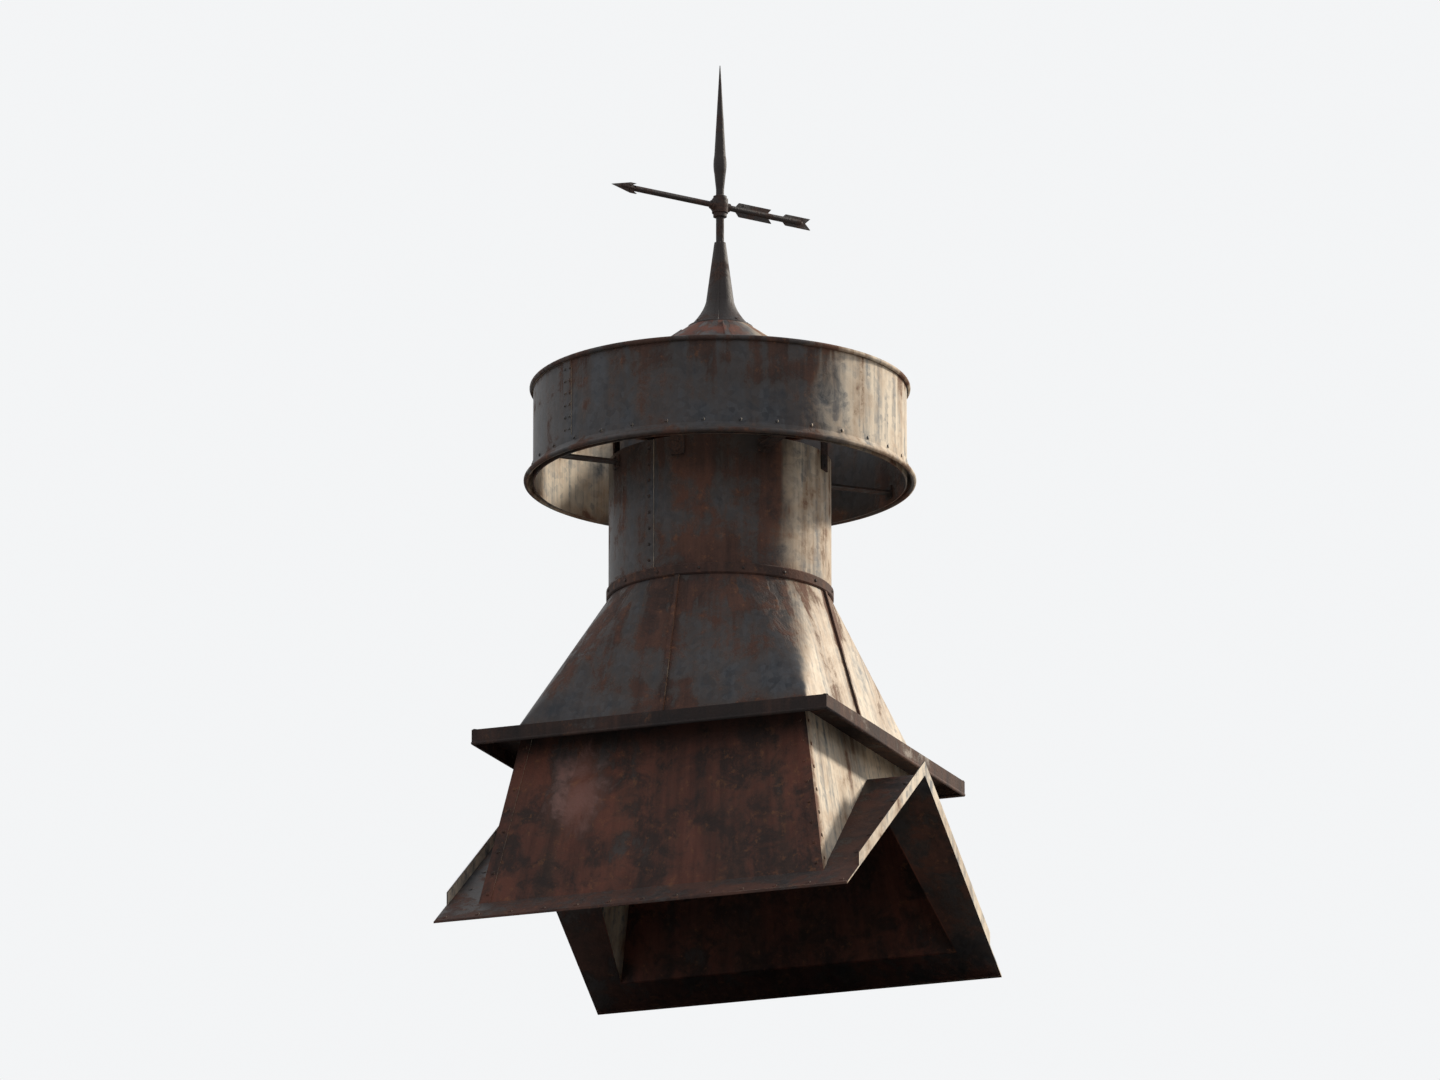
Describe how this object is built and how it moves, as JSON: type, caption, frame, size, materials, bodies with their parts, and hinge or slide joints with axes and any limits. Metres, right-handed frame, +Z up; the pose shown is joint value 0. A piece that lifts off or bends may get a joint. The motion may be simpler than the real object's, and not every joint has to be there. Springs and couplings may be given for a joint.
{
  "type": "sheet-metal roof cupola",
  "caption": "Barn ventilator cupola: square base cut to straddle a gable ridge, drip ledge, square-to-round hood, round neck, open wind band, cone cap, spire and turning arrow vane.",
  "frame": {"origin": "centre of the footprint, level with the lowest edge of the roof flashing", "axes": "+X along the roof ridge, -Y the front that the picture shows, +Z up"},
  "size_m": [1.02, 0.986, 2.1435],
  "materials": {
    "base_sheet": "red-brown rust on galvanised sheet, matt",
    "flashing": "weathered zinc grey with rust, matt",
    "ledge_sheet": "dark rust, matt",
    "hood_sheet": "brown rust over dull zinc",
    "neck_sheet": "brown rust over dull zinc",
    "band_sheet": "brown rust over dull zinc",
    "cap_sheet": "dull zinc with rust",
    "strap_iron": "dark rusted iron",
    "spire_iron": "dark rusted iron",
    "vane_iron": "dark rusted iron"
  },
  "bodies": {
    "cupola": {"front_wall": "base_sheet", "back_wall": "base_sheet", "left_wall": "base_sheet", "right_wall": "base_sheet", "front_flange": "flashing", "back_flange": "flashing", "left_flange": "flashing", "right_flange": "flashing", "ledge_front": "ledge_sheet", "ledge_back": "ledge_sheet", "ledge_left": "ledge_sheet", "ledge_right": "ledge_sheet", "neck_collar": "ledge_sheet", "hood_front_left": "hood_sheet", "hood_front_right": "hood_sheet", "hood_back_left": "hood_sheet", "hood_back_right": "hood_sheet", "hood_seam_front": "hood_sheet", "hood_seam_back": "hood_sheet", "hood_seam_left": "hood_sheet", "hood_seam_right": "hood_sheet", "neck": "neck_sheet", "wind_band": "band_sheet", "band_rim": "band_sheet", "cap": "cap_sheet", "stay_front_left": "strap_iron", "stay_front_right": "strap_iron", "stay_back_left": "strap_iron", "stay_back_right": "strap_iron", "cap_strap_front": "strap_iron", "cap_strap_back": "strap_iron", "cap_strap_left": "strap_iron", "cap_strap_right": "strap_iron", "spire_ferrule": "spire_iron", "spire_rod": "spire_iron", "vane_stop": "spire_iron", "spear_point": "spire_iron"},
    "vane": {"vane_hub": "vane_iron", "arrow_shaft": "vane_iron", "arrow_head": "vane_iron", "arrow_tail": "vane_iron"}
  },
  "joints": [
    {"name": "vane_turn", "type": "hinge", "parent": "cupola", "child": "vane", "pos_m": [0, 0, 1.7979], "axis": [0, 0, 1], "continuous": true}
  ]
}
